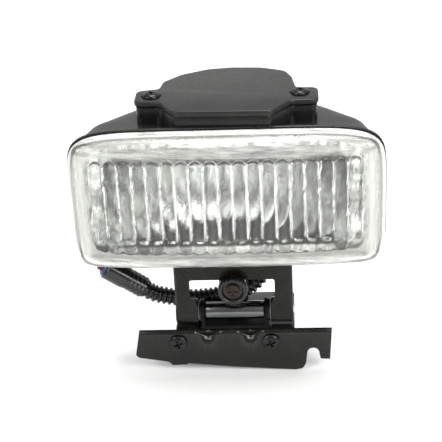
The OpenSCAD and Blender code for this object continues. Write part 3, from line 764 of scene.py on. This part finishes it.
def make_housing():
    steps = [(len(BOWL) - 1) * k / 45 for k in range(46)]
    outer = [oval_ring(*spline(BOWL, t)) for t in steps if t > 0.5]
    rim_w, rim_h = LENS_W + 1.2, LENS_H + 1.2
    rim = [oval_ring(15.25, rim_w - 1.4, rim_h - 1.4), oval_ring(15.35, rim_w - 0.5, rim_h - 0.5),
           oval_ring(15.8, rim_w, rim_h), oval_ring(17.4, rim_w, rim_h),
           oval_ring(17.9, rim_w - 0.3, rim_h - 0.3), oval_ring(18.2, rim_w - 1, rim_h - 1),
           oval_ring(18.2, 156.4, 73.2, 8.5), oval_ring(18.6, 155.6, 72.4, 9)]
    inner = [oval_ring(d - (BACK_WALL_T if d > BACK_FROM else 0), w - 2 * WALL_T, h - 2 * WALL_T, p)
             for d, w, h, p in (spline(BOWL, t) for t in steps)]
    rings = rim + outer
    points = [p for ring in rings for p in ring]
    count = len(rings[0])
    faces = rings_to_faces(count, len(rings))
    faces.append(tuple(range((len(rings) - 1) * count, len(rings) * count)))
    first = len(points)
    back = list(reversed(inner))
    points += [p for ring in back for p in ring]
    faces += [tuple(first + k for k in f) for f in rings_to_faces(count, len(back))]
    faces.append(tuple(range(first, first + count)))
    last = first + (len(back) - 1) * count
    faces += [(k, (k + 1) % count, last + (k + 1) % count, last + k) for k in range(count)]
    shell = solid((points, faces))

    collar_outline = scaled_outline(rounded(LID_OUTLINE), 0.8)
    collar = solid(prism(collar_outline, lamp(0, 0, 18).z, lamp(0, 0, COLLAR_TOP).z,
                         lambda x, y, z: Vector((x, lamp(0, y, 0).y, z))))
    collar = bevel(collar, 0.5, 2, 50)
    # the pad over the yoke, the grommet's boss and the vent
    pad_low, pad_high = lamp(-26, 29, -40), lamp(26, 59, -29)
    pad = bevel(solid(cuboid(pad_low, pad_high)), 1.2, 3)
    boss = solid(cylinder(lamp(18, 64, -33), (0, 0, 1), 10, 0, 14))
    boss = bevel(boss, 0.8, 2)
    vent = solid(cylinder(lamp(0, 70, -11), (0, 1, 0), 5, 0, 13))
    parts = [collar, pad, boss, vent]
    for x in (-24, -12, 24):
        profile = [Vector(p) for p in BACK_RIB]
        rib = solid(prism(profile, x - 0.8, x + 0.8, lambda y, z, x: lamp(x, y, z)))
        parts.append(bevel(rib, 0.35, 2))
    shell = combine(shell, parts, "UNION")
    opening = scaled_outline(rounded([(-26, 20, 5), (24, 19, 5), (31, 30, 5), (31, 66, 6), (20, 75, 8),
                                      (-12, 75, 8), (-31, 60, 6), (-31, 31, 5)]), 0.5)
    hollow = solid(prism(opening, lamp(0, 0, 18).z, lamp(0, 0, COLLAR_TOP + 2).z,
                         lambda x, y, z: Vector((x, lamp(0, y, 0).y, z))))
    bore = solid(cylinder(lamp(18, 64, -33), (0, 0, 1), 7, -1, 12))
    shell = combine(shell, [hollow, bore], "DIFFERENCE")
    name_piece(shell, "housing_shell", BLACK_PLASTIC, "lamp", ["housing"], 32)


def make_lid():
    outline = rounded(LID_OUTLINE)
    low = lamp(0, 0, COLLAR_TOP + GASKET_T).z
    high = box_mm("access_cover")[1].z
    rings = []
    for z, inset in ((low, 0.4), (low + 0.3, 0.05), (low + 0.8, 0), (high - 0.9, 0), (high - 0.45, 0.12),
                     (high - 0.15, 0.42), (high, 1.0)):
        rings.append([Vector((p.x, lamp(0, p.y, 0).y, z)) for p in scaled_outline(outline, inset)])
    points = [p for ring in rings for p in ring]
    count = len(outline)
    faces = rings_to_faces(count, len(rings))
    faces.append(tuple(range(count)))
    faces.append(tuple(range((len(rings) - 1) * count, len(rings) * count)))
    lid = solid((points, faces))
    cuts = []
    for side in (-1, 1):
        seat = lamp(side * SCREWS[0], SCREWS[1], 0)
        seat.z = high - 0.7
        cuts.append(solid(lathe([(0, 5.0), (0.75, 5.3), (3, 5.6)], seat, (0, 0, 1), 48)))
        cuts.append(solid(cylinder(seat, (0, 0, 1), 2.1, -6, 1, 32)))
    combine(lid, cuts, "DIFFERENCE")
    name_piece(lid, "lid", LID_PLASTIC, "lamp", ["access_cover"], 32)


make_housing()
make_lid()


# ---- screws ----
def pan_screw(head_r, head_h, shank_r, shank, seat, axis):
    """A pan-head screw with a cross recess; its head stands on the seat, out along the axis."""
    crown = [(head_h * (0.35 + 0.65 * math.sin(k * math.pi / 14)), head_r * math.cos(k * math.pi / 14) ** 0.8)
             for k in range(7)]
    profile = [(-shank, shank_r * 0.8), (-shank + 0.5, shank_r), (0, shank_r), (0, head_r * 0.97),
               (head_h * 0.1, head_r)] + crown[:-1] + [(head_h, head_r * 0.1)]
    screw = solid(lathe(profile, (0, 0, 0), (0, 0, 1), 48))
    arms = []
    for turn in (0.35, 0.35 + math.pi / 2):
        arm = cuboid((-head_r * 0.5, -head_r * 0.11, head_h * 0.35),
                     (head_r * 0.5, head_r * 0.11, head_h * 2))
        spin = Matrix.Rotation(turn, 3, "Z")
        arms.append(solid(([spin @ p for p in arm[0]], arm[1])))
    combine(screw, arms, "DIFFERENCE")
    bevel(screw, 0.12, 1, 50)
    turn = Vector(axis).to_track_quat("Z", "Y").to_matrix().to_4x4()
    screw.data.transform(Matrix.Translation(Vector(seat) * MM) @ turn)
    return screw


def make_screws():
    top = box_mm("access_cover")[1].z - 0.7
    pair = []
    for side in (-1, 1):
        seat = lamp(side * SCREWS[0], SCREWS[1], 0)
        seat.z = top
        pair.append(pan_screw(4.6, 2.9, 1.75, 11, seat, (0, 0, 1)))
    for side, screw in zip(("left", "right"), pair):
        name_piece(screw, "lid_screw_" + side, DARK_SCREW, "lamp", ["cover_screws"])
    low, high, mid = box_mm("clamp_screws")
    front = box_mm("mounting_bracket")[0].y
    for side, x in (("left", low.x + 5), ("right", high.x - 5)):
        screw = pan_screw(5, 2.8, 2.45, 8, (x, front, mid.z), (0, -1, 0))
        name_piece(screw, "flange_screw_" + side, DARK_SCREW, "base", ["clamp_screws"])


make_screws()


# ---- yoke ----
yoke_low, yoke_high = box_mm("yoke")[:2]
YOKE_T = 2.5
YOKE_GAP = 41.0
KNUCKLE_R = 7.0
TONGUE_R, TONGUE_T = 8.0, 2.2
KNOB_HOLE_R, SOCKET_R, PIN_BORE_R = 6.2, 5.6, 4


def make_yoke():
    half = yoke_high.x
    front, top = yoke_low.y, yoke_high.z
    outer = solid(cuboid((-half, front, PIVOT.z), (half, 10, top)))
    outer = bevel(outer, 3.0, 5)
    inner = solid(cuboid((-half + YOKE_T, front + YOKE_T, 0), (half - YOKE_T, 30, top - YOKE_T)))
    bevel(inner, 0.8, 2)
    shell = combine(outer, [inner], "DIFFERENCE")
    # the window is wider above the knuckles than between them
    window_left, window_right, window_top = -24.0, 22.6, AIM_Z + 3.7
    window = rounded([(-YOKE_GAP / 2, 0, 0), (YOKE_GAP / 2, 0, 0), (YOKE_GAP / 2, 18.6, 1),
                      (window_right, 20.6, 1), (window_right, window_top, 1.4),
                      (window_left, window_top, 1.4), (window_left, 21.6, 1), (-YOKE_GAP / 2, 18.6, 1)])
    cuts = [solid(prism(window, front - 2, front + 5, facing_front))]
    cuts.append(solid(cylinder((0, 0, AIM_Z), (0, 1, 0), KNOB_HOLE_R, front - 2, front + 5)))
    behind = [(-13.5, top + 5, 0), (-13.5, top - 4, 3), (-14.5, 41, 6), (-22, 26, 8), (-24, 15.5, 2),
              (front + YOKE_T + 0.4, 14.5, 1), (front + YOKE_T + 0.4, 0, 0), (30, 0, 0), (30, top + 5, 0)]
    for side in (-1, 1):
        low_x, high_x = sorted((side * (half - YOKE_T - 1.5), side * (half + 2)))
        cuts.append(solid(prism(rounded(behind), low_x, high_x, facing_side)))
        low_x, high_x = sorted((side * 26.0, side * (half - YOKE_T)))
        cuts.append(solid(cuboid((low_x, front + YOKE_T + 2.5, top - 5), (high_x, 30, top + 2))))
    cuts.append(solid(cuboid((-half - 2, -3, top - 6), (half + 2, 30, top + 2))))
    cuts.append(solid(cuboid((-half - 2, -12, 0), (half + 2, 30, top - YOKE_T - 0.5))))
    shell = combine(shell, cuts, "DIFFERENCE")
    tongue = [Vector((-TONGUE_R, AIM_Z)), Vector((-TONGUE_R, top - 1)), Vector((TONGUE_R, top - 1))]
    tongue += [Vector((TONGUE_R * math.cos(TURN * k / 48), AIM_Z + TONGUE_R * math.sin(TURN * k / 48)))
               for k in range(0, -24, -1)]
    adds = [solid(prism(tongue, PIVOT.y - TONGUE_T / 2, PIVOT.y + TONGUE_T / 2, facing_front))]
    for side in (-1, 1):
        adds.append(solid(lathe([(20.0, KNUCKLE_R - 0.5), (20.25, KNUCKLE_R - 0.15), (20.7, KNUCKLE_R),
                                 (half - 0.7, KNUCKLE_R), (half - 0.25, KNUCKLE_R - 0.15),
                                 (half, KNUCKLE_R - 0.5)], PIVOT, (side, 0, 0), 64)))
    shell = combine(shell, adds, "UNION")
    bores = [solid(cylinder(PIVOT, (1, 0, 0), PIN_BORE_R, -40, 40)),
             solid(cylinder((0, PIVOT.y, AIM_Z), (0, 1, 0), SOCKET_R, -4, 4, 64))]
    shell = combine(shell, bores, "DIFFERENCE")
    bevel(shell, 0.22, 1, 40)
    name_piece(shell, "yoke_frame", YOKE_STEEL, "lamp", ["yoke"])


make_yoke()


# ---- hinge ----
def make_hinge():
    half = box_mm("pivot_tube")[1].x
    tube_r = box_mm("pivot_tube")[1].z - PIVOT.z
    profile = [(-half, 3.1), (-half, tube_r - 0.5), (-half + 0.15, tube_r - 0.15), (-half + 0.5, tube_r),
               (half - 0.5, tube_r), (half - 0.15, tube_r - 0.15), (half, tube_r - 0.5), (half, 3.1)]
    segments = 80
    points = lathe(profile, PIVOT, (1, 0, 0), segments)[0]
    tube = solid((points, rings_to_faces(segments, len(profile), closed=True)))
    name_piece(tube, "spacer_tube", TUBE_STEEL, "base", ["pivot_tube"])
    reach = box_mm("pivot_pin")[1].x
    profile = [(-reach, 1.4), (-reach + 0.3, 2.1), (-reach + 0.8, 2.2), (-reach + 0.9, 2.7),
               (-reach + 1.3, 3.0)]
    profile += [(-along, radius) for along, radius in reversed(profile)]
    pin = solid(lathe(profile, PIVOT, (1, 0, 0), 48))
    name_piece(pin, "hinge_pin", ZINC, "base", ["pivot_pin"])


make_hinge()


# ---- aiming knob ----
def make_knob():
    low, high = box_mm("aim_knob")[:2]
    radius = (high.x - low.x) / 2
    origin = (0, low.y, AIM_Z)
    profile = [(6.2, 2.55), (2.35, 2.55), (2.35, 5.2), (1.2, 5.6), (0.45, 6.0), (0.1, 6.5), (0, 7.0),
               (0.25, 7.6), (0.8, 8.0), (1.5, radius), (4.6, radius), (5.2, 7.9), (5.6, 7.3), (5.7, 5.2),
               (6.0, 4.6),
               (high.y - low.y, 4.45), (high.y - low.y, 2.55)]
    segments = 144
    points = []
    for along, r in profile:
        for k in range(segments):
            turn = TURN * k / segments
            groove = 0.55 * max(0, math.cos(turn * 24)) ** 2 if r > 7.5 and along > 0.2 else 0
            points.append(Vector(origin) + Vector(((r - groove) * math.cos(turn), along,
                                                   (r - groove) * math.sin(turn))))
    faces = rings_to_faces(segments, len(profile), closed=True)
    knob = solid((points, faces))
    name_piece(knob, "thumb_knob", KNOB_PLASTIC, "adjuster", ["aim_knob"], 40)


make_knob()


# ---- bracket ----
FLANGE = [(-53.6, 2, 0.6), (-56.4, -13.5, 1.5), (-54.5, -15.2, 1), (-38, -18, 4), (-36, -20.3, 1.6),
          (-28.5, -20, 2), (-27, -19.2, 3), (0, -21.8, 0), (33, -24.2, 1), (37, -23.4, 1.5), (38.8, -20.5, 2),
          (39.7, -14, 0.2), (46.5, -14, 0.2), (47.2, -17.2, 0.6), (52.4, -17.6, 0.6), (53.6, 2, 0.6)]
DARTS = (-15.3, 8.4)
DART_HALF, DART_DEPTH = 7.2, 3.6
DART_REACH = 7.5                 # how far round the bend a dent fades out
WEB_HOLE_X, WEB_HOLE_R = 24, 3.3
SLOT_X, SLOT_Z, SLOT_R = 43.1, -13.5, 3.4
SHEET_T = 2.0
WEB_HALF = 33.0
BEND_R = 3.0


def bend_profile(dent):
    """The bracket's outer skin from the flange's foot over the bend to the web's rear edge."""
    front, back = bracket_low.y, bracket_high.y
    line = [(front, -26), (front, -12), (front, -6), (front, -3.2)]
    for k in range(9):
        turn = math.pi / 2 * k / 8
        line.append((front + BEND_R * (1 - math.cos(turn)), SHEET_T - BEND_R * (1 - math.sin(turn))))
    line += [(y, SHEET_T) for y in (front + 4.5, front + 6.4, front + 9, -5, back)]
    moved = []
    for y, z in line:
        reach = max(0, 1 - math.hypot(y - front - 0.9, z - SHEET_T + 0.9) / DART_REACH)
        moved.append((y + dent * reach, z - dent * reach))
    return moved


def inset_profile(line, distance):
    moved = []
    for i, (y, z) in enumerate(line):
        a, b = line[max(i - 1, 0)], line[min(i + 1, len(line) - 1)]
        along = Vector((b[0] - a[0], b[1] - a[1])).normalized()
        moved.append((y + along.y * distance, z - along.x * distance))
    return moved


def make_bracket():
    stations = [-58, -36, -30, -24]
    for dart in DARTS:
        stations += [dart + DART_REACH * k / 8 for k in range(-8, 9)]
    stations += [20, 30, 36, 55]
    rings = []
    for x in sorted(set(round(x, 3) for x in stations)):
        dent = max(max(0, 1 - abs(x - dart) / DART_HALF) for dart in DARTS) * DART_DEPTH
        skin = bend_profile(dent)
        rings.append([Vector((x, y, z)) for y, z in skin + inset_profile(skin, SHEET_T)[::-1]])
    count = len(rings[0])
    points = [p for ring in rings for p in ring]
    faces = rings_to_faces(count, len(rings))
    faces += [tuple(range(count)), tuple(range((len(rings) - 1) * count, len(rings) * count))]
    sheet = solid((points, faces))
    front, back = bracket_low.y, bracket_high.y
    keep = solid(prism(rounded(FLANGE), front - 1, front + SHEET_T, facing_front))
    web = [(-WEB_HALF, front - 1, 0), (WEB_HALF, front - 1, 0), (WEB_HALF, back, 3), (-WEB_HALF, back, 3)]
    keep_web = solid(prism(rounded(web), -6, SHEET_T + 1, flat))
    combine(keep, [keep_web], "UNION")
    combine(sheet, [keep], "INTERSECT")
    cuts = []
    slot = [Vector((SLOT_X + SLOT_R * math.cos(TURN * k / 48), SLOT_Z + SLOT_R * math.sin(TURN * k / 48)))
            for k in range(25)]
    slot += [Vector((SLOT_X - SLOT_R, -40)), Vector((SLOT_X + SLOT_R, -40))]
    cuts.append(solid(prism(slot, front - 3, front + 6, facing_front)))
    for side in (-1, 1):
        cuts.append(solid(cylinder((side * WEB_HOLE_X, 0, 0), (0, 0, 1), WEB_HOLE_R, -3, 5)))
    combine(sheet, cuts, "DIFFERENCE")
    bevel(sheet, 0.25, 2, 40)
    name_piece(sheet, "bracket_plate", COATED_STEEL, "base", ["mounting_bracket"])


bracket_low, bracket_high = box_mm("mounting_bracket")[:2]
make_bracket()


# ---- CAD nodes that stay ----
STAYING = {
    "lens_gasket": SEALANT, "bulb_glass": QUARTZ, "bulb_filament": TUNGSTEN, "bulb_base": ZINC,
    "bulb_clip": ZINC, "lead_terminal": NYLON, "power_lead": BLUE_WIRE, "earth_lead": RUBBER,
    "cover_gasket": RUBBER, "breather_cap": RUBBER, "yoke_screws": ZINC, "pivot_bushings": NYLON,
    "aim_socket": NYLON, "cable_grommet": RUBBER, "pivot_clevis": SHADED_CLEVIS_STEEL,
    "clevis_rivets": DARK_SCREW, "friction_washers": DARK_SCREW, "clamp_strip": COATED_STEEL,
    "nut_post": COATED_STEEL, "post_rivet": DARK_SCREW, "adjuster_nut": ZINC_PAINTED_SHADE,
    "aim_ball": NYLON, "aim_screw": ZINC_PAINTED_SHADE}
EDGE_R = 0.15
# Those whose edges are rounded as well
SOFTENED = ("pivot_clevis", "clamp_strip", "nut_post", "adjuster_nut", "cable_grommet", "breather_cap")
for name, look in STAYING.items():
    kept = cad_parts[name]
    kept.data.materials.clear()
    kept.data.materials.append(look)
    weld = kept.modifiers.new("weld", "WELD")
    weld.merge_threshold = 1e-6
    if name in SOFTENED:
        edge = kept.modifiers.new("edge", "BEVEL")
        edge.width = EDGE_R * MM
        edge.segments = 2
        edge.limit_method = "ANGLE"
        edge.angle_limit = math.radians(40)


# ---- floor and light ----
def make_stage():
    mesh = bpy.data.meshes.new("floor")
    reach, low = 6.0, FLOOR_Z * MM
    mesh.from_pydata([(-reach, -reach, low), (reach, -reach, low), (reach, reach, low), (-reach, reach, low)],
                     [], [(0, 1, 2, 3)])
    floor = bpy.data.objects.new("floor", mesh)
    bpy.context.scene.collection.objects.link(floor)
    pale = material("floor_pale", (0.86, 0.86, 0.855), (0.88, 0.88, 0.875), (0.6, 0.7), specular=0.1,
                    grain=(300, 1e-5), mottle=3)
    mesh.materials.append(pale)


def softbox(name, place, aim, size, power):
    """A square area light, size metres across, turned towards a point."""
    data = bpy.data.lights.new(name, "AREA")
    data.shape = "RECTANGLE"
    data.size = size
    data.size_y = size
    data.energy = power
    lamp_object = bpy.data.objects.new(name, data)
    bpy.context.scene.collection.objects.link(lamp_object)
    lamp_object.location = place
    lamp_object.rotation_euler = (Vector(aim) - Vector(place)).to_track_quat("-Z", "Y").to_euler()


def make_world():
    world = bpy.data.worlds.new("studio")
    bpy.context.scene.world = world
    world.use_nodes = True
    tree = world.node_tree
    place = node(tree, "ShaderNodeTexCoord")
    split = node(tree, "ShaderNodeSeparateXYZ")
    ramp = node(tree, "ShaderNodeValToRGB")
    ramp.color_ramp.elements[0].color = (0.8, 0.8, 0.79, 1)
    ramp.color_ramp.elements[0].position = 0.0
    ramp.color_ramp.elements[1].color = (1, 1, 1, 1)
    ramp.color_ramp.elements[1].position = 0.75
    tree.links.new(place.outputs["Generated"], split.inputs["Vector"])
    tree.links.new(split.outputs["Z"], ramp.inputs["Fac"])
    tree.links.new(ramp.outputs["Color"], tree.nodes["Background"].inputs["Color"])
    # dim in front, bright behind, so that tops shine and front faces stay dark
    tree.links.new(ranged(tree, split.outputs["Y"], 0.5, 1.0, -0.5, 0.7),
                   tree.nodes["Background"].inputs["Strength"])


make_stage()
make_world()
middle = lamp(0, 30, -30) * MM
softbox("top", (0.1, 0.1, 1.3), middle, 0.6, 13)
softbox("key_right", (0.85, -0.8, 0.7), middle, 0.6, 12)
softbox("fill_left", (-0.95, -0.75, 0.8), middle, 0.7, 9)
softbox("glint", (0.3, -0.3, 1.2), middle, 0.1, 1.6)
bpy.context.scene.view_settings.view_transform = "Standard"
